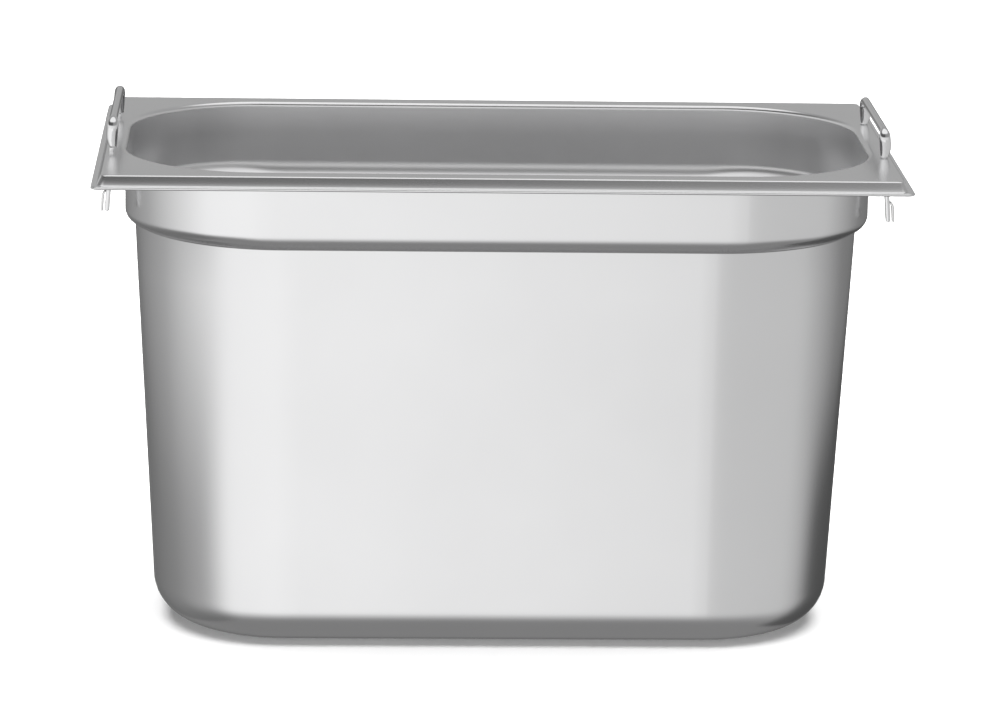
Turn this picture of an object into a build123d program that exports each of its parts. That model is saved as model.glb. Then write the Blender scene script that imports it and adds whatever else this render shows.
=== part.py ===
from build123d import *
import os
from math import atan, cos, degrees, radians, sin, tan

# Deep-drawn stainless food pan with two drop handles on its short sides.
# Millimetres, +Z up, X along the long side of the rim, origin at the centre of
# the base. The flange's top face is at Z = PAN_DEPTH.

# Pan: overall sizes
RIM_LENGTH = 325.0
RIM_WIDTH = 176.0
PAN_DEPTH = 200.0
SHEET = 0.8

# Rim: a flat flange, then an apron that slopes down to an outward hem
RIM_CORNER = 3.0
APRON_DEPTH = 4.0
HEM_THICKNESS = 1.3
HEM_ROUND = 0.6
FLANGE_EDGE_INSET = 4.0
FLANGE_CORNER = 2.0
FLANGE_BEND = 1.0
APRON_FOOT_INSET = 2.2

# Upper band, the straight collar under the flange
BAND_LENGTH = 302.6
BAND_WIDTH = 150.8
BAND_CORNER = 54.0
BAND_DEPTH = 34.0
BAND_ROUND = 9.0
MOUTH_ROUND = 2.0

# Bowl: it starts a ledge's width inside the band and narrows to the base
LEDGE = 3.6
BOWL_CORNER = 62.0
DRAFT = 2.9
BASE_ROUND = 18.0

# Handle: a round grip on two flattened legs, with a thin tang below each leg
LEG_SPACING = 72.0
LEG_INSET = 6.8
LEG_TILT = 4.5
LEG_FOOT_WIDTH = 3.0
LEG_TOP_WIDTH = 4.6
LEG_THICKNESS = 3.6
LEG_FLARE = 5.0
LEG_ROUND = 1.2
FOOT_GAP = 0.05
GRIP_DIAMETER = 3.4
GRIP_BEND = 3.4
GRIP_TOP = 12.2
TANG_WIDTH = 2.0
TANG_THICKNESS = 2.6
TANG_DEPTH = 26.6
TANG_END_ROUND = 0.9
TANG_BURIED = 1.0
SLOT_CLEARANCE = 0.12
SLOT_CUT = 3.0

# Retaining clip on each tang, which keeps the handle from pulling out
CLIP_TOP = 17.9
CLIP_ROOT = 1.8
CLIP_SHOULDER = 1.6
CLIP_GAP = 0.5
CLIP_THICKNESS = 1.1
CLIP_ROUND = 0.4

# Sides and ends, and how far each handle stands above its lowest position
SIDES = {"right": 1, "left": -1}
ENDS = {"front": -1, "rear": 1}
RAISED_BY = {"right": 0.0, "left": 2.0}

# Worked out from the sizes above
LEDGE_Z = PAN_DEPTH - BAND_DEPTH
RIM_HEIGHT = APRON_DEPTH + HEM_THICKNESS
APRON_SPREAD = degrees(atan((FLANGE_EDGE_INSET - APRON_FOOT_INSET) / APRON_DEPTH))
APRON_WALL = SHEET / cos(radians(APRON_SPREAD))
GRIP_OFFSET = (LEG_TOP_WIDTH - LEG_FOOT_WIDTH) / 2
GRIP_HEIGHT = GRIP_TOP - GRIP_DIAMETER / 2
TANG_OFFSET = (LEG_FOOT_WIDTH - TANG_WIDTH) / 2


def bowl_form(skin):
    """The bowl as a solid: its outside at skin 0, or its cavity at skin SHEET."""
    with BuildPart() as form:
        with BuildSketch(Plane.XY.offset(LEDGE_Z + skin)):
            RectangleRounded(
                BAND_LENGTH - 2 * (LEDGE + skin),
                BAND_WIDTH - 2 * (LEDGE + skin),
                BOWL_CORNER - skin,
            )
        collar = extrude(amount=BAND_ROUND)
        extrude(collar.faces().sort_by(Axis.Z)[0], amount=LEDGE_Z, taper=DRAFT)
        fillet(form.edges().group_by(Axis.Z)[0], BASE_ROUND - skin)
    return form


def band_form(skin):
    """The band as a solid: its outside at skin 0, or its cavity at skin SHEET."""
    with BuildPart() as form:
        with BuildSketch(Plane.XY.offset(LEDGE_Z + skin)):
            RectangleRounded(
                BAND_LENGTH - 2 * skin,
                BAND_WIDTH - 2 * skin,
                BAND_CORNER - skin,
            )
        extrude(amount=BAND_DEPTH - skin)
        fillet(form.edges().group_by(Axis.Z)[0], BAND_ROUND - skin)
    return form


def apron_form(inset, corner, top, bottom):
    """The space under a flange edge, from depth top to bottom, spreading as it goes down."""
    with BuildPart() as form:
        with BuildSketch(Plane.XY.offset(PAN_DEPTH - top)):
            RectangleRounded(RIM_LENGTH - 2 * inset, RIM_WIDTH - 2 * inset, corner)
        extrude(amount=top - bottom, taper=-APRON_SPREAD)
    return form


def hem_form():
    """The hem as a full plate, with its edges rounded."""
    with BuildPart() as form:
        with BuildSketch(Plane.XY.offset(PAN_DEPTH - RIM_HEIGHT)):
            RectangleRounded(RIM_LENGTH, RIM_WIDTH, RIM_CORNER)
        extrude(amount=HEM_THICKNESS)
        fillet(form.faces().filter_by(Axis.Z).edges(), HEM_ROUND)
    return form


def leg_plane(side, y, raised=0.0):
    """The plane of a leg's outline: x points away from the pan, and y up along the leg."""
    lean = radians(LEG_TILT)
    foot = RIM_LENGTH / 2 - LEG_INSET
    return Plane(
        origin=(side * (foot - raised * sin(lean)), y, PAN_DEPTH + raised * cos(lean)),
        x_dir=(side * cos(lean), 0, sin(lean)),
        z_dir=(0, -side, 0),
    )


def handle(side, raised):
    """One handle: the grip, its two flattened legs and the tang below each leg."""
    planes = [leg_plane(side, end * LEG_SPACING / 2, raised) for end in ENDS.values()]
    half_foot = LEG_FOOT_WIDTH / 2
    foot_rise = half_foot * tan(radians(LEG_TILT))
    outer = LEG_TOP_WIDTH - half_foot
    crown = GRIP_HEIGHT - LEG_TOP_WIDTH / 2
    middle = leg_plane(side, 0, raised)
    grip_origin = middle.from_local_coords((GRIP_OFFSET, 0, 0))
    with BuildPart() as bail:
        for plane in planes:
            with BuildSketch(plane):
                with BuildLine():
                    foot = Line(
                        (-half_foot, FOOT_GAP + foot_rise),
                        (half_foot, FOOT_GAP - foot_rise),
                    )
                    TangentArc((outer, LEG_FLARE), foot @ 1, tangent=(0, -1))
                    Line((outer, LEG_FLARE), (outer, crown))
                    ThreePointArc((outer, crown), (GRIP_OFFSET, GRIP_HEIGHT), (-half_foot, crown))
                    Line((-half_foot, crown), foot @ 0)
                make_face()
            extrude(amount=LEG_THICKNESS / 2, both=True)
        fillet(bail.faces().filter_by(Axis.Y).edges(), LEG_ROUND)
        for plane in planes:
            with BuildSketch(plane) as tang:
                with Locations((TANG_OFFSET, TANG_BURIED)):
                    Rectangle(TANG_WIDTH, TANG_DEPTH + TANG_BURIED, align=(Align.CENTER, Align.MAX))
                fillet(tang.vertices().group_by(Axis.Y)[0], TANG_END_ROUND)
            extrude(amount=TANG_THICKNESS / 2, both=True)
        with BuildLine(Plane(grip_origin, x_dir=(0, side, 0), z_dir=middle.x_dir)) as grip:
            FilletPolyline(
                (-LEG_SPACING / 2, LEG_FLARE),
                (-LEG_SPACING / 2, GRIP_HEIGHT),
                (LEG_SPACING / 2, GRIP_HEIGHT),
                (LEG_SPACING / 2, LEG_FLARE),
                radius=GRIP_BEND,
            )
        with BuildSketch(Plane(grip.line @ 0, z_dir=grip.line % 0)):
            Circle(GRIP_DIAMETER / 2)
        sweep()
    return bail


def retaining_clip(side, end, raised):
    """A springy tongue fixed to the outside of a tang, pointing down beside it."""
    face = TANG_OFFSET + TANG_WIDTH / 2
    inner = face + CLIP_GAP
    outer = inner + CLIP_THICKNESS
    with BuildPart() as clip:
        with BuildSketch(leg_plane(side, end * LEG_SPACING / 2, raised)) as outline:
            with BuildLine():
                Polyline(
                    (face, -CLIP_TOP),
                    (outer, -CLIP_TOP - CLIP_SHOULDER),
                    (outer, -TANG_DEPTH),
                    (inner, -TANG_DEPTH),
                    (inner, -CLIP_TOP - CLIP_ROOT - CLIP_SHOULDER / 2),
                    (face, -CLIP_TOP - CLIP_ROOT),
                    close=True,
                )
            make_face()
            fillet(outline.vertices().sort_by(Axis.X)[2:], CLIP_ROUND)
        extrude(amount=TANG_THICKNESS / 2, both=True)
    return clip


# Pan: the outside forms, less the hollow under the flange and the cavity
flange_form = apron_form(
    FLANGE_EDGE_INSET,
    FLANGE_CORNER,
    0.0,
    APRON_DEPTH + HEM_THICKNESS / 2,
)
hollow_form = apron_form(
    FLANGE_EDGE_INSET + APRON_WALL,
    FLANGE_CORNER,
    SHEET,
    RIM_HEIGHT,
)
hem = hem_form()

with BuildPart() as pan_shell:
    add(flange_form.part)
    fillet(pan_shell.edges().group_by(Axis.Z)[-1], FLANGE_BEND)
    add(hem.part)
    add(hollow_form.part, mode=Mode.SUBTRACT)
    add([band_form(0.0).part, bowl_form(0.0).part])
    add([band_form(SHEET).part, bowl_form(SHEET).part], mode=Mode.SUBTRACT)
    mouth = pan_shell.faces().sort_by(Axis.Z)[-1].inner_wires()[0]
    fillet(mouth.edges(), MOUTH_ROUND)
    for side in SIDES.values():
        for end in ENDS.values():
            with BuildSketch(leg_plane(side, end * LEG_SPACING / 2)):
                with Locations((TANG_OFFSET, 0)):
                    Rectangle(TANG_WIDTH + 2 * SLOT_CLEARANCE, SLOT_CUT)
            extrude(
                amount=TANG_THICKNESS / 2 + SLOT_CLEARANCE,
                both=True,
                mode=Mode.SUBTRACT,
            )

# Every piece by its name: the pan, then each side's handle and its two clips
pieces = {"pan_shell": pan_shell}
for side_name, side in SIDES.items():
    raised = RAISED_BY[side_name]
    pieces[side_name + "_handle"] = handle(side, raised)
    for end_name, end in ENDS.items():
        clip_name = side_name + "_" + end_name + "_clip"
        pieces[clip_name] = retaining_clip(side, end, raised)

os.makedirs("parts", exist_ok=True)
for name, piece in pieces.items():
    piece.part.label = name
    export_step(piece.part, "parts/" + name + ".step")
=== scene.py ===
"""Studio picture of a deep stainless food pan with two drop handles. Metres, +Z up."""

from math import acos, atan, cos, pi, radians, sin, tan

import bpy
from mathutils import Matrix, Vector


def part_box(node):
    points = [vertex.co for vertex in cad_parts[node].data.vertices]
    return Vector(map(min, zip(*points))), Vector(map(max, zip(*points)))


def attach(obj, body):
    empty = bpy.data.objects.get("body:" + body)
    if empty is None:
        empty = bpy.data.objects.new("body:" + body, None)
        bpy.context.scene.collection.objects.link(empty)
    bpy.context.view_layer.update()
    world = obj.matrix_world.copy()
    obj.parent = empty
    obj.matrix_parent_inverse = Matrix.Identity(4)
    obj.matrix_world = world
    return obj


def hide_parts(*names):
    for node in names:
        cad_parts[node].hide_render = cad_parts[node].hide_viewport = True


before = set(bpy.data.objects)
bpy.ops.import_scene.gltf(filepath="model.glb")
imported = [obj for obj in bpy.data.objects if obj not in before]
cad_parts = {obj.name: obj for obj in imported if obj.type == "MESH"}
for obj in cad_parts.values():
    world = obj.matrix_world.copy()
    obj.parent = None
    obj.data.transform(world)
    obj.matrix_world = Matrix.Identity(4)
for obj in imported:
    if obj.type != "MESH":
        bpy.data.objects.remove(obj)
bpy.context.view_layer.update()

MM = 0.001

# Pan sizes in millimetres, taken from the frame where it gives them
pan_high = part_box("pan_shell")[1]
HALF_LENGTH = pan_high[0] / MM
HALF_WIDTH = pan_high[1] / MM
DEPTH = pan_high[2] / MM
SHEET = 0.8
RIM_CORNER = 3.0
APRON_DEPTH = 4.0
HEM_RADIUS = 0.65
FLANGE_EDGE = 4.0
FLANGE_BEND = 1.0
APRON_FOOT = 2.2
BAND_INSET_X = 11.2
BAND_INSET_Y = 12.6
BAND_CORNER = 54.0
BAND_DEPTH = 34.0
BAND_ROUND = 9.0
MOUTH_ROUND = 2.0
LEDGE = 3.6
BOWL_CORNER = 62.0
DRAFT = radians(2.9)
BASE_ROUND = 18.0

# Handle sizes in millimetres, measured across the pan (s), along the rim (y) and up the leg (t)
LEG_TILT = radians(4.5)
LEG_INSET = 6.8
LEG_SPACING = 72.0
FOOT_HALF = 1.5
LEG_TOP_WIDTH = 4.6
LEG_THICKNESS = 3.2
LEG_FLARE = 5.0
FOOT_LEVELLED = 2.0
GRIP_RADIUS = 1.7
GRIP_TOP = 12.2
GRIP_BEND = 3.4
TANG_WIDTH = 2.0
TANG_THICKNESS = 2.6
TANG_DEPTH = 26.6
SLOT_GAP = 0.12
CLIP_TOP = 17.9
CLIP_GAP = 0.5
CLIP_THICKNESS = 1.1

# Steps round each ring of the pan: half of a long side, a corner and half of an end
SIDE_STEPS = 14
CORNER_STEPS = 20
END_STEPS = 8

# The floor, in millimetres: half its width, and how far it lies below the base
FLOOR_HALF = 30000.0
FLOOR_GAP = 0.2


# Mesh helpers


def new_mesh(name, verts, faces, material, smooth=True):
    """A mesh object from points in millimetres."""
    mesh = bpy.data.meshes.new(name)
    mesh.from_pydata([Vector(v) * MM for v in verts], [], faces)
    mesh.validate()
    mesh.polygons.foreach_set("use_smooth", [smooth] * len(mesh.polygons))
    mesh.materials.append(material)
    mesh.update()
    piece = bpy.data.objects.new(name, mesh)
    bpy.context.collection.objects.link(piece)
    return piece


def ring_points(half_x, half_y, corner, z):
    """A rounded rectangle as a ring of points, with the same count for every size."""
    points = []
    cx = half_x - corner
    cy = half_y - corner
    sides = ((1, 1, 0.0), (-1, 1, 90.0), (-1, -1, 180.0), (1, -1, 270.0))
    for i, (sx, sy, start) in enumerate(sides):
        for k in range(CORNER_STEPS):
            a = radians(start + 90.0 * k / CORNER_STEPS)
            points.append((sx * cx + corner * cos(a), sy * cy + corner * sin(a), z))
        a = radians(start + 90.0)
        end = Vector((sx * cx + corner * cos(a), sy * cy + corner * sin(a), z))
        nx, ny, _ = sides[(i + 1) % 4]
        after = Vector((nx * cx + corner * cos(a), ny * cy + corner * sin(a), z))
        steps = 2 * SIDE_STEPS if i % 2 == 0 else 2 * END_STEPS
        for k in range(steps):
            points.append(tuple(end.lerp(after, k / steps)))
    return points


def blend_rings(first, second, share):
    """The ring part of the way from one ring to another."""
    return [tuple(Vector(a).lerp(Vector(b), share)) for a, b in zip(first, second)]


def skin_rings(rings):
    """Vertices and faces of a skin over rings that share their point count."""
    count = len(rings[0])
    verts = [p for ring in rings for p in ring]
    faces = []
    for r in range(len(rings) - 1):
        for k in range(count):
            a = r * count + k
            b = r * count + (k + 1) % count
            faces.append((a, b, b + count, a + count))
    return verts, faces


# Pan


def rim_ring(inset, corner, depth):
    """A ring that follows the rim's outline, at a depth under the flange's top."""
    return ring_points(HALF_LENGTH - inset, HALF_WIDTH - inset, corner, DEPTH - depth)


def band_ring(inset, z):
    """A ring that follows the band's outside, moved in by an inset."""
    return ring_points(
        HALF_LENGTH - BAND_INSET_X - inset,
        HALF_WIDTH - BAND_INSET_Y - inset,
        BAND_CORNER - inset,
        z,
    )


def bowl_ring(inset, z):
    """A ring that follows the top of the bowl's outside, moved in by an inset."""
    return ring_points(
        HALF_LENGTH - BAND_INSET_X - LEDGE - inset,
        HALF_WIDTH - BAND_INSET_Y - LEDGE - inset,
        BOWL_CORNER - inset,
        z,
    )


def ledge_rings(skin, wide, steps):
    """The shoulder between band and bowl: an arc of the band, then a tight turn down."""
    top = DEPTH - BAND_DEPTH + BAND_ROUND
    radius = BAND_ROUND - skin
    turn = wide * LEDGE
    bend = acos(1 - turn / radius)
    tight = (LEDGE - turn) / (cos(DRAFT) - cos(bend))
    rings = []
    for k in range(1, steps + 1):
        a = bend * k / steps
        rings.append((radius * (1 - cos(a)), top - radius * sin(a)))
    low = top - radius * sin(bend)
    for k in range(1, steps // 2 + 1):
        a = bend + (DRAFT - bend) * k / (steps // 2)
        rings.append((turn + tight * (cos(a) - cos(bend)), low - tight * (sin(bend) - sin(a))))
    outlines = []
    for inset, z in rings:
        share = inset / LEDGE
        outlines.append(blend_rings(band_ring(skin, z), bowl_ring(skin, z), share))
    return outlines, rings[-1][1]


def bowl_rings(skin, top, wall_steps, base_steps):
    """The bowl's wall, base round and flat base, from the ledge down to the middle."""
    ledge_z = DEPTH - BAND_DEPTH
    foot = ledge_z * tan(DRAFT)
    centre = foot + BASE_ROUND * (1 - sin(DRAFT)) / cos(DRAFT)
    radius = BASE_ROUND - skin
    tangent = BASE_ROUND - radius * sin(DRAFT)
    rings = []
    for k in range(1, wall_steps + 1):
        z = top + (tangent - top) * k / wall_steps
        fall = max(ledge_z - z, 0.0)
        rings.append(bowl_ring(fall * tan(DRAFT) + skin / cos(DRAFT), z))
    for k in range(1, base_steps + 1):
        a = DRAFT + (pi / 2 - DRAFT) * k / base_steps
        rings.append(bowl_ring(centre - radius * cos(a), BASE_ROUND - radius * sin(a)))
    for inset in (centre + 1.0, centre + 12.0, BOWL_CORNER - 12.0, BOWL_CORNER - 2.0):
        rings.append(bowl_ring(inset, skin))
    return rings


def rim_rings():
    """The rim's top side: hem bead, apron, top bend, flange and the mouth's round."""
    slope = atan((FLANGE_EDGE - APRON_FOOT) / APRON_DEPTH)
    rings = []
    for k in range(9):
        a = -pi / 2 + pi * k / 8
        depth = APRON_DEPTH + HEM_RADIUS - HEM_RADIUS * sin(a)
        rings.append(rim_ring(HEM_RADIUS * (1 - cos(a)), RIM_CORNER, depth))
    rings.append(rim_ring(APRON_FOOT - 0.25, RIM_CORNER, APRON_DEPTH))
    rings.append(rim_ring(APRON_FOOT - 0.05, RIM_CORNER, APRON_DEPTH - 0.06))
    rings.append(rim_ring(APRON_FOOT + 0.09, RIM_CORNER, APRON_DEPTH - 0.2))
    reach = FLANGE_BEND * tan((pi / 2 - slope) / 2)
    edge = FLANGE_EDGE + reach
    for k in range(9):
        a = slope + (pi / 2 - slope) * k / 8
        inset = edge - FLANGE_BEND * cos(a)
        rings.append(rim_ring(inset, RIM_CORNER - 0.5, FLANGE_BEND * (1 - sin(a))))
    outer = rim_ring(edge + 0.5, RIM_CORNER - 0.5, 0.0)
    inner = band_ring(SHEET - MOUTH_ROUND - 0.5, DEPTH)
    rings.append(outer)
    for share in (0.25, 0.5, 0.75):
        rings.append(blend_rings(outer, inner, share))
    rings.append(inner)
    for k in range(9):
        a = pi / 2 * k / 8
        inset = SHEET - MOUTH_ROUND * (1 - sin(a))
        rings.append(band_ring(inset, DEPTH - MOUTH_ROUND * (1 - cos(a))))
    return rings


def underside_rings():
    """The rim's underside: from the band's outside, under the flange, to the hem."""
    slope = atan((FLANGE_EDGE - APRON_FOOT) / APRON_DEPTH)
    wall = SHEET / cos(slope)
    bend = MOUTH_ROUND + SHEET
    rings = []
    for k in range(7):
        a = pi / 2 * k / 6
        inset = -bend * (1 - cos(a))
        rings.append(band_ring(inset, DEPTH - SHEET - bend * (1 - sin(a))))
    inner = rings[-1]
    outer = rim_ring(FLANGE_EDGE + wall, RIM_CORNER - 1.0, SHEET)
    for share in (0.33, 0.66):
        rings.append(blend_rings(inner, outer, share))
    rings.append(outer)
    foot = FLANGE_EDGE + wall - (APRON_DEPTH + 2 * HEM_RADIUS - SHEET) * tan(slope)
    rings.append(rim_ring(foot, RIM_CORNER - 1.0, APRON_DEPTH + 2 * HEM_RADIUS))
    return rings


def cut_slots(piece):
    """Cut the four slots that the tangs slide in."""
    for side in (-1, 1):
        place = leg_frame(side, 0.0)
        near, far = FOOT_HALF - TANG_WIDTH - SLOT_GAP, FOOT_HALF + SLOT_GAP
        for y in (-LEG_SPACING / 2, LEG_SPACING / 2):
            front, back = y - TANG_THICKNESS / 2 - SLOT_GAP, y + TANG_THICKNESS / 2 + SLOT_GAP
            corners = [(near, front), (far, front), (far, back), (near, back)]
            verts = [place(s, b, t) for t in (-3.0, 3.0) for s, b in corners]
            faces = [(3, 2, 1, 0), (4, 5, 6, 7)]
            faces += [(k, (k + 1) % 4, (k + 1) % 4 + 4, k + 4) for k in range(4)]
            if side < 0:
                faces = [f[::-1] for f in faces]
            cutter = new_mesh("slot_cutter", verts, faces, piece.data.materials[0], smooth=False)
            cut = piece.modifiers.new("slot", "BOOLEAN")
            cut.operation = "DIFFERENCE"
            cut.solver = "EXACT"
            cut.object = cutter
            bpy.context.view_layer.update()
            whole = piece.evaluated_get(bpy.context.evaluated_depsgraph_get())
            mesh = bpy.data.meshes.new_from_object(whole)
            piece.modifiers.clear()
            piece.data = mesh
            bpy.data.objects.remove(cutter)
    piece.data.set_sharp_from_angle(angle=radians(50))


def build_pan(material, inside_material):
    """The whole pan as one closed sheet, walked from the base inside round to the base outside."""
    inner_ledge, inner_top = ledge_rings(SHEET, 0.8, 10)
    outer_ledge, outer_top = ledge_rings(0.0, 0.92, 12)
    inside = bowl_rings(SHEET, inner_top, 8, 14)[::-1] + inner_ledge[::-1]
    band_z = DEPTH - BAND_DEPTH + BAND_ROUND
    inside += [band_ring(SHEET, band_z), band_ring(SHEET, band_z + 12.0)]
    lip = len(inside)
    inside += rim_rings()[::-1]
    outside = underside_rings()[::-1]
    outside += [band_ring(0.0, band_z + 12.0), band_ring(0.0, band_z)]
    outside += outer_ledge + bowl_rings(0.0, outer_top, 8, 14)
    rings = inside + outside
    verts, faces = skin_rings(rings)
    count = len(rings[0])
    faces.append(tuple(range(count)))
    faces.append(tuple(range(len(verts) - 1, len(verts) - 1 - count, -1)))
    pan = new_mesh("pan", verts, [f[::-1] for f in faces], material)
    pan.data.materials.append(inside_material)
    for polygon in pan.data.polygons:
        if polygon.index < lip * count or polygon.index == len(faces) - 2:
            polygon.material_index = 1
    cut_slots(pan)
    return pan


# Handles


def leg_frame(side, raised):
    """A function that turns (s, y, t) beside a leg's foot into a point of the pan."""
    away = Vector((side * cos(LEG_TILT), 0, sin(LEG_TILT)))
    up = Vector((-side * sin(LEG_TILT), 0, cos(LEG_TILT)))
    foot = Vector((side * (HALF_LENGTH - LEG_INSET), 0, DEPTH)) + up * raised

    def place(s, y, t):
        return foot + away * s + up * t + Vector((0, y, 0))

    return place


def leg_outer_edge(t):
    """How far the outer edge of a leg stands out at height t."""
    wide = LEG_TOP_WIDTH - FOOT_HALF
    if t >= LEG_FLARE:
        return wide
    return FOOT_HALF + (wide - FOOT_HALF) * sin(pi / 2 * max(t, 0.0) / LEG_FLARE)


def oval(half_s, half_n, power, count=28):
    """A rounded section: an ellipse at power 2, and squarer above it."""
    points = []
    for k in range(count):
        a = 2 * pi * k / count
        c = cos(a)
        v = sin(a)
        points.append((
            half_s * (abs(c) ** (2 / power)) * (1 if c >= 0 else -1),
            half_n * (abs(v) ** (2 / power)) * (1 if v >= 0 else -1),
        ))
    return points


def grip_path():
    """Stations from one foot over the grip to the other: s, y, t, tilt of the section, sizes."""
    crown = GRIP_TOP - GRIP_RADIUS
    half = LEG_SPACING / 2
    stations = []
    heights = [0.05, 0.5, 1.2, 2.2, 3.4, LEG_FLARE, 6.3, crown - GRIP_BEND]
    for t in heights:
        outer = leg_outer_edge(t)
        centre = (outer - FOOT_HALF) / 2
        stations.append((centre, -half, t, 0.0, (outer + FOOT_HALF) / 2, LEG_THICKNESS / 2, 2.5))
    top = (LEG_TOP_WIDTH - 2 * FOOT_HALF) / 2
    for k in range(1, 11):
        a = pi / 2 * k / 10
        share = min(1.0, max(0.0, (k - 3) / 7))
        share = share * share * (3 - 2 * share)
        half_s = LEG_TOP_WIDTH / 2 + (GRIP_RADIUS - LEG_TOP_WIDTH / 2) * share
        half_n = LEG_THICKNESS / 2 + (GRIP_RADIUS - LEG_THICKNESS / 2) * share
        y = -half + GRIP_BEND * (1 - cos(a))
        t = crown - GRIP_BEND + GRIP_BEND * sin(a)
        stations.append((top, y, t, a, half_s, half_n, 2.5 - 0.5 * share))
    for y in (-half + 8.0, -half + 20.0):
        stations.append((top, y, crown, pi / 2, GRIP_RADIUS, GRIP_RADIUS, 2.0))
    mirrored = [(s, -y, t, pi - a, hs, hn, p) for s, y, t, a, hs, hn, p in stations[::-1]]
    return stations + mirrored


def sweep_stations(place, stations, level_feet=False):
    """A closed tube through stations, capped at both ends, with its feet cut level if asked."""
    rings = []
    for s, y, t, a, half_s, half_n, power in stations:
        ring = []
        for ds, dn in oval(half_s, half_n, power):
            level = 0.0
            if level_feet:
                level = (s + ds) * tan(LEG_TILT) * max(0.0, 1.0 - t / FOOT_LEVELLED)
            ring.append(tuple(place(s + ds, y - dn * cos(a), t + dn * sin(a) - level)))
        rings.append(ring)
    verts, faces = skin_rings(rings)
    count = len(rings[0])
    faces.append(tuple(range(count - 1, -1, -1)))
    faces.append(tuple(range(len(verts) - count, len(verts))))
    return verts, faces


def tang_stations(y):
    """Stations down a tang to its rounded end."""
    s = FOOT_HALF - TANG_WIDTH / 2
    stations = []
    for t in (0.6, -1.0, -12.0, -TANG_DEPTH + 1.0):
        stations.append((s, y, t, 0.0, TANG_WIDTH / 2, TANG_THICKNESS / 2, 5.0))
    for k in range(1, 7):
        a = pi / 2 * k / 6
        drop = -TANG_DEPTH + 1.0 - sin(a)
        narrow = max(cos(a), 0.12)
        stations.append((s, y, drop, 0.0, TANG_WIDTH / 2 * narrow, TANG_THICKNESS / 2, 5.0))
    return stations[::-1]


def build_handle(name, side, raised, material):
    """One handle with its two tangs, as one piece."""
    place = leg_frame(side, raised)
    verts, faces = sweep_stations(place, grip_path(), level_feet=True)
    for y in (-LEG_SPACING / 2, LEG_SPACING / 2):
        more, more_faces = sweep_stations(place, tang_stations(y))
        start = len(verts)
        verts += more
        faces += [tuple(i + start for i in f) for f in more_faces]
    if side < 0:
        faces = [f[::-1] for f in faces]
    return new_mesh(name, verts, faces, material)


def build_clip(name, side, y, raised, material):
    """A bent tongue beside a tang: a strip that leaves the tang, bows out and points down."""
    place = leg_frame(side, raised)
    face = FOOT_HALF
    mid = face + CLIP_GAP + CLIP_THICKNESS / 2
    half = CLIP_THICKNESS / 2
    line = [
        (face + 0.1, -CLIP_TOP - 0.45, 0.5),
        (face + 0.45, -CLIP_TOP - 0.75, 0.7),
        (mid - 0.3, -CLIP_TOP - 1.3, 0.95),
        (mid + 0.02, -CLIP_TOP - 2.1, 1.0),
        (mid + 0.04, -CLIP_TOP - 3.2, 1.0),
        (mid + 0.02, -CLIP_TOP - 5.5, 1.0),
        (mid - 0.02, -TANG_DEPTH + 0.6, 1.0),
        (mid - 0.02, -TANG_DEPTH + 0.2, 0.8),
        (mid - 0.02, -TANG_DEPTH + 0.02, 0.35),
    ]
    rings = []
    for i, (s, t, scale) in enumerate(line):
        before = line[max(i - 1, 0)]
        after = line[min(i + 1, len(line) - 1)]
        along = Vector((after[0] - before[0], after[1] - before[1])).normalized()
        across = Vector((-along[1], along[0]))
        ring = []
        for dn, dy in oval(half * scale, TANG_THICKNESS / 2, 5.0, 24):
            ring.append(tuple(place(s + across[0] * dn, y + dy, t + across[1] * dn)))
        rings.append(ring)
    verts, faces = skin_rings(rings)
    count = len(rings[0])
    faces.append(tuple(range(count - 1, -1, -1)))
    faces.append(tuple(range(len(verts) - count, len(verts))))
    if side < 0:
        faces = [f[::-1] for f in faces]
    return new_mesh(name, verts, faces, material)


# Materials


class Nodes:
    """A short way to lay out a shader's nodes."""

    def __init__(self, tree):
        self.tree = tree
        tree.nodes.clear()

    def add(self, kind, **values):
        node = self.tree.nodes.new(kind)
        for key, value in values.items():
            if key in node.inputs:
                node.inputs[key].default_value = value
            else:
                setattr(node, key, value)
        return node

    def link(self, source, target):
        self.tree.links.new(source, target)


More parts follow.
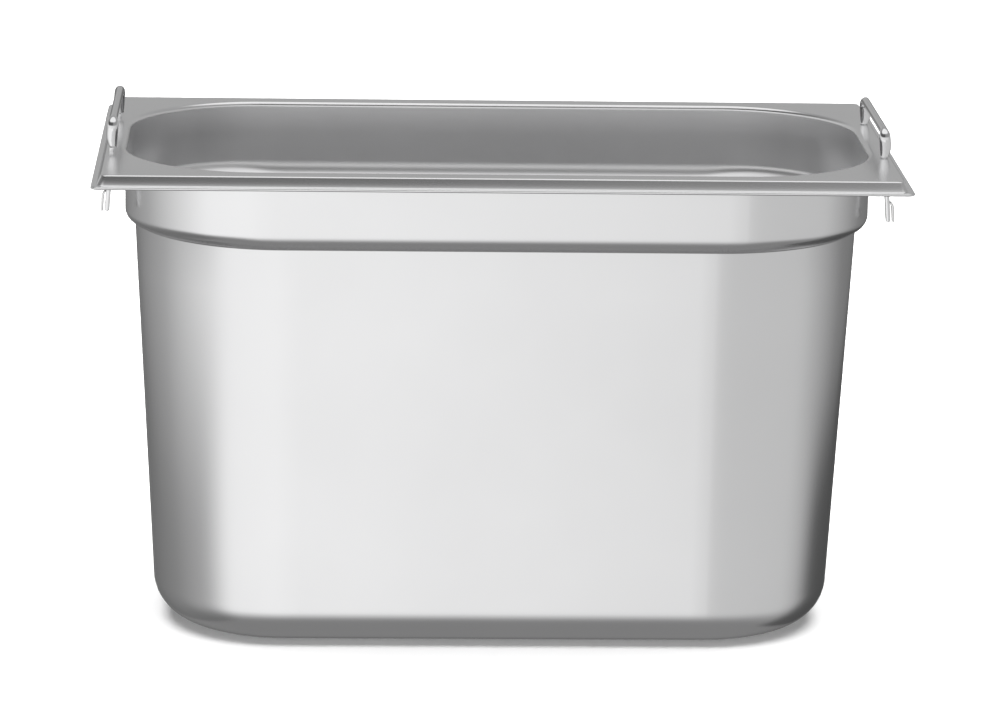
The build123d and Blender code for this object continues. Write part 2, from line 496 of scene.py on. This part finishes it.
def steel(name, tint, rough, spread, grain, bump):
    """Stainless steel with fine drawn lines, cloudy patches and small changes of gloss."""
    material = bpy.data.materials.new(name)
    material.use_nodes = True
    n = Nodes(material.node_tree)
    out = n.add("ShaderNodeOutputMaterial")
    shader = n.add("ShaderNodeBsdfPrincipled", Metallic=1.0)
    n.link(shader.outputs["BSDF"], out.inputs["Surface"])
    coords = n.add("ShaderNodeTexCoord")

    stretch = n.add("ShaderNodeMapping")
    stretch.inputs["Scale"].default_value = grain
    n.link(coords.outputs["Object"], stretch.inputs["Vector"])
    lines = n.add("ShaderNodeTexNoise", Scale=1.0, Detail=4.0, Roughness=0.65)
    n.link(stretch.outputs["Vector"], lines.inputs["Vector"])

    clouds = n.add("ShaderNodeTexNoise", Scale=14.0, Detail=3.0, Roughness=0.5)
    n.link(coords.outputs["Object"], clouds.inputs["Vector"])
    speckle = n.add("ShaderNodeTexNoise", Scale=1400.0, Detail=2.0, Roughness=0.6)
    n.link(coords.outputs["Object"], speckle.inputs["Vector"])

    colour = n.add("ShaderNodeValToRGB")
    low, high = colour.color_ramp.elements
    low.position = 0.3
    high.position = 0.7
    low.color = tuple(c * 0.965 for c in tint) + (1.0,)
    high.color = tuple(tint) + (1.0,)
    n.link(clouds.outputs["Fac"], colour.inputs["Fac"])
    n.link(colour.outputs["Color"], shader.inputs["Base Color"])

    mixed = n.add("ShaderNodeMath", operation="MULTIPLY_ADD")
    mixed.inputs[1].default_value = 0.65
    n.link(lines.outputs["Fac"], mixed.inputs[0])
    share = n.add("ShaderNodeMath", operation="MULTIPLY")
    share.inputs[1].default_value = 0.35
    n.link(clouds.outputs["Fac"], share.inputs[0])
    n.link(share.outputs[0], mixed.inputs[2])
    gloss = n.add("ShaderNodeMapRange")
    gloss.inputs["From Min"].default_value = 0.3
    gloss.inputs["From Max"].default_value = 0.7
    gloss.inputs["To Min"].default_value = rough - spread
    gloss.inputs["To Max"].default_value = rough + spread
    n.link(mixed.outputs[0], gloss.inputs["Value"])
    n.link(gloss.outputs["Result"], shader.inputs["Roughness"])

    relief = n.add("ShaderNodeMath", operation="ADD")
    n.link(lines.outputs["Fac"], relief.inputs[0])
    n.link(speckle.outputs["Fac"], relief.inputs[1])
    bumps = n.add("ShaderNodeBump", Strength=bump, Distance=0.000002)
    n.link(relief.outputs[0], bumps.inputs["Height"])
    n.link(bumps.outputs["Normal"], shader.inputs["Normal"])
    return material


def floor_material():
    """A plain white sweep with the faintest unevenness."""
    material = bpy.data.materials.new("studio_floor")
    material.use_nodes = True
    n = Nodes(material.node_tree)
    out = n.add("ShaderNodeOutputMaterial")
    shader = n.add("ShaderNodeBsdfPrincipled", Roughness=0.9)
    n.link(shader.outputs["BSDF"], out.inputs["Surface"])
    coords = n.add("ShaderNodeTexCoord")
    noise = n.add("ShaderNodeTexNoise", Scale=1.5, Detail=2.0)
    n.link(coords.outputs["Object"], noise.inputs["Vector"])
    ramp = n.add("ShaderNodeValToRGB")
    ramp.color_ramp.elements[0].color = (0.93, 0.93, 0.93, 1.0)
    ramp.color_ramp.elements[1].color = (0.95, 0.95, 0.95, 1.0)
    n.link(noise.outputs["Fac"], ramp.inputs["Fac"])
    n.link(ramp.outputs["Color"], shader.inputs["Base Color"])
    return material


# Studio


def level_ramp(n, turn, stops):
    """Brightness by the angle round the studio from the front, negative to the left."""
    ramp = n.add("ShaderNodeValToRGB")
    ramp.color_ramp.interpolation = "LINEAR"
    ramp.color_ramp.elements.remove(ramp.color_ramp.elements[1])
    for i, (degrees_round, level) in enumerate(stops):
        place = (degrees_round + 180) / 360
        stop = ramp.color_ramp.elements[0] if i == 0 else ramp.color_ramp.elements.new(place)
        stop.position = place
        stop.color = (level, level, level, 1.0)
    n.link(turn.outputs["Result"], ramp.inputs["Fac"])
    return ramp.outputs["Color"]


def fade(n, rise, start, end, below, above):
    """One colour below a height on the sky and another above it, with a soft change."""
    window = n.add("ShaderNodeMapRange", interpolation_type="SMOOTHSTEP")
    window.inputs["From Min"].default_value = start
    window.inputs["From Max"].default_value = end
    n.link(rise, window.inputs["Value"])
    mix = n.add("ShaderNodeMix", data_type="RGBA")
    n.link(window.outputs["Result"], mix.inputs["Factor"])
    for socket, colour in ((mix.inputs[6], below), (mix.inputs[7], above)):
        if isinstance(colour, float):
            socket.default_value = (colour, colour, colour, 1.0)
        else:
            n.link(colour, socket)
    return mix.outputs[2]


def studio_world():
    """A soft tent: dim below, bright round the front, a dark gap above it, then bright overhead."""
    world = bpy.data.worlds.new("studio")
    bpy.context.scene.world = world
    world.use_nodes = True
    n = Nodes(world.node_tree)
    out = n.add("ShaderNodeOutputWorld")
    light = n.add("ShaderNodeBackground", Strength=0.91)
    n.link(light.outputs["Background"], out.inputs["Surface"])
    coords = n.add("ShaderNodeTexCoord")
    split = n.add("ShaderNodeSeparateXYZ")
    n.link(coords.outputs["Generated"], split.inputs["Vector"])
    front = n.add("ShaderNodeMath", operation="MULTIPLY")
    front.inputs[1].default_value = -1.0
    n.link(split.outputs["Y"], front.inputs[0])
    angle = n.add("ShaderNodeMath", operation="ARCTAN2")
    n.link(split.outputs["X"], angle.inputs[0])
    n.link(front.outputs[0], angle.inputs[1])
    turn = n.add("ShaderNodeMapRange")
    turn.inputs["From Min"].default_value = -pi
    turn.inputs["From Max"].default_value = pi
    n.link(angle.outputs[0], turn.inputs["Value"])
    rise = split.outputs["Z"]

    low = level_ramp(n, turn, (
        (-180, 0.15), (-110, 0.45), (-45, 1.10), (3, 1.15), (8, 0.70), (80, 0.65), (130, 0.25),
        (180, 0.15),
    ))
    high = level_ramp(n, turn, ((-180, 0.45), (-20, 1.05), (60, 0.60), (180, 0.45)))
    gap = level_ramp(n, turn, ((-180, 0.45), (-60, 0.10), (0, 0.12), (10, 0.35), (180, 0.45)))
    sides = fade(n, rise, -0.05, 0.12, low, high)
    shelf = fade(n, rise, 0.36, 0.50, sides, gap)
    top = fade(n, rise, 0.80, 0.90, shelf, 1.1)
    whole = fade(n, rise, -0.86, -0.52, 0.26, top)
    n.link(whole, light.inputs["Color"])


def card(name, corners, level, strength, fades):
    """A sheet that only the steel's reflections see, and that fades out towards its edges."""
    material = bpy.data.materials.new(name)
    material.use_nodes = True
    n = Nodes(material.node_tree)
    out = n.add("ShaderNodeOutputMaterial")
    glow = n.add("ShaderNodeEmission", Strength=1.0)
    clear = n.add("ShaderNodeBsdfTransparent")
    blend = n.add("ShaderNodeMixShader")
    n.link(clear.outputs["BSDF"], blend.inputs[1])
    n.link(glow.outputs["Emission"], blend.inputs[2])
    n.link(blend.outputs["Shader"], out.inputs["Surface"])
    coords = n.add("ShaderNodeTexCoord")
    noise = n.add("ShaderNodeTexNoise", Scale=6.0, Detail=2.0)
    n.link(coords.outputs["Object"], noise.inputs["Vector"])
    ramp = n.add("ShaderNodeValToRGB")
    for stop, share in zip(ramp.color_ramp.elements, (0.92, 1.08)):
        stop.color = (level * share, level * share, level * share, 1.0)
    n.link(noise.outputs["Fac"], ramp.inputs["Fac"])
    n.link(ramp.outputs["Color"], glow.inputs["Color"])
    split = n.add("ShaderNodeSeparateXYZ")
    n.link(coords.outputs["Object"], split.inputs["Vector"])
    windows = []
    for axis, clear_at, full_at in fades:
        window = n.add("ShaderNodeMapRange", interpolation_type="SMOOTHSTEP")
        low, high = sorted((clear_at, full_at))
        window.inputs["From Min"].default_value = low * MM
        window.inputs["From Max"].default_value = high * MM
        window.inputs["To Min"].default_value = 0.0 if low == clear_at else 1.0
        window.inputs["To Max"].default_value = 1.0 if low == clear_at else 0.0
        n.link(split.outputs[axis], window.inputs["Value"])
        windows.append(window.outputs["Result"])
    cover = n.add("ShaderNodeMath", operation="MULTIPLY")
    n.link(windows[0], cover.inputs[0])
    n.link(windows[1], cover.inputs[1])
    scaled = n.add("ShaderNodeMath", operation="MULTIPLY")
    scaled.inputs[1].default_value = strength
    n.link(cover.outputs[0], scaled.inputs[0])
    n.link(scaled.outputs[0], blend.inputs[0])
    sheet = new_mesh(name, corners, [(0, 1, 2, 3)], material)
    sheet.visible_camera = False
    sheet.visible_diffuse = False
    sheet.visible_shadow = False


def studio():
    """The floor, the light over it, the cards beside the pan and the tent."""
    half = FLOOR_HALF
    floor = new_mesh(
        "floor",
        [(-half, -half, 0), (half, -half, 0), (half, half, 0), (-half, half, 0)],
        [(0, 1, 2, 3)],
        floor_material(),
    )
    floor.location.z = -FLOOR_GAP * MM
    floor.visible_glossy = False
    # Each card's place, brightness and cover, then where it is clear and where it is full
    for name, x, level, strength, fades in (
        ("left_card", -345.0, 0.10, 0.50, (("Y", -260, -90), ("Z", 90, -50))),
        ("right_card", 345.0, 0.04, 0.75, (("Y", -40, 90), ("Z", 50, -40))),
    ):
        sheet = [(x, -400, -400), (x, 600, -400), (x, 600, 100), (x, -400, 100)]
        card(name, sheet, level, strength, fades)
    lamp = bpy.data.lights.new("overhead", "AREA")
    lamp.shape = "RECTANGLE"
    lamp.size = 3.0
    lamp.size_y = 3.0
    lamp.energy = 160.0
    holder = bpy.data.objects.new("overhead", lamp)
    holder.location = (0.0, 0.2, 2.4)
    holder.visible_glossy = False
    bpy.context.collection.objects.link(holder)
    studio_world()
    bpy.context.scene.view_settings.view_transform = "Standard"


def camera():
    """A long lens, in front of the pan and a little above its rim."""
    data = bpy.data.cameras.new("camera")
    data.sensor_width = 36.0
    data.lens = 169.6
    yaw, pitch, roll = radians(2.42), radians(13.63), radians(0.97)
    holder = bpy.data.objects.new("camera", data)
    holder.location = (-0.0773, -1.9001, 0.5703)
    forward = Vector((sin(yaw) * cos(pitch), cos(yaw) * cos(pitch), -sin(pitch)))
    right = Vector((cos(yaw), -sin(yaw), 0.0))
    up = right.cross(forward)
    level = Matrix((right, up, -forward)).transposed()
    holder.rotation_mode = "QUATERNION"
    holder.rotation_quaternion = (level @ Matrix.Rotation(roll, 3, "Z")).to_quaternion()
    bpy.context.collection.objects.link(holder)
    bpy.context.scene.camera = holder


# Scene

camera()
studio()

satin = steel("pan_satin_steel", (0.86, 0.86, 0.865), 0.21, 0.006, (900.0, 900.0, 60.0), 0.25)
polished = steel("handle_polished_steel", (0.82, 0.82, 0.825), 0.10, 0.02, (1500.0, 200.0, 200.0), 0.2)
sprung = steel("clip_spring_steel", (0.80, 0.80, 0.80), 0.18, 0.03, (1500.0, 1500.0, 150.0), 0.25)
matte = steel("pan_inside_steel", (0.87, 0.87, 0.875), 0.34, 0.010, (900.0, 900.0, 60.0), 0.25)
pan = build_pan(satin, matte)
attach(pan, "pan")
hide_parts("pan_shell")

rest_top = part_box("right_handle")[1][2] / MM
for name, side in (("left", -1), ("right", 1)):
    body = name + "_drop_handle"
    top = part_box(name + "_handle")[1][2] / MM
    raised = (top - rest_top) / cos(LEG_TILT)
    handle = build_handle(name + "_bail", side, raised, polished)
    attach(handle, body)
    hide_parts(name + "_handle")
    for end, y in (("front", -LEG_SPACING / 2), ("rear", LEG_SPACING / 2)):
        clip = build_clip(name + "_" + end + "_tongue", side, y, raised, sprung)
        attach(clip, body)
        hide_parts(name + "_" + end + "_clip")
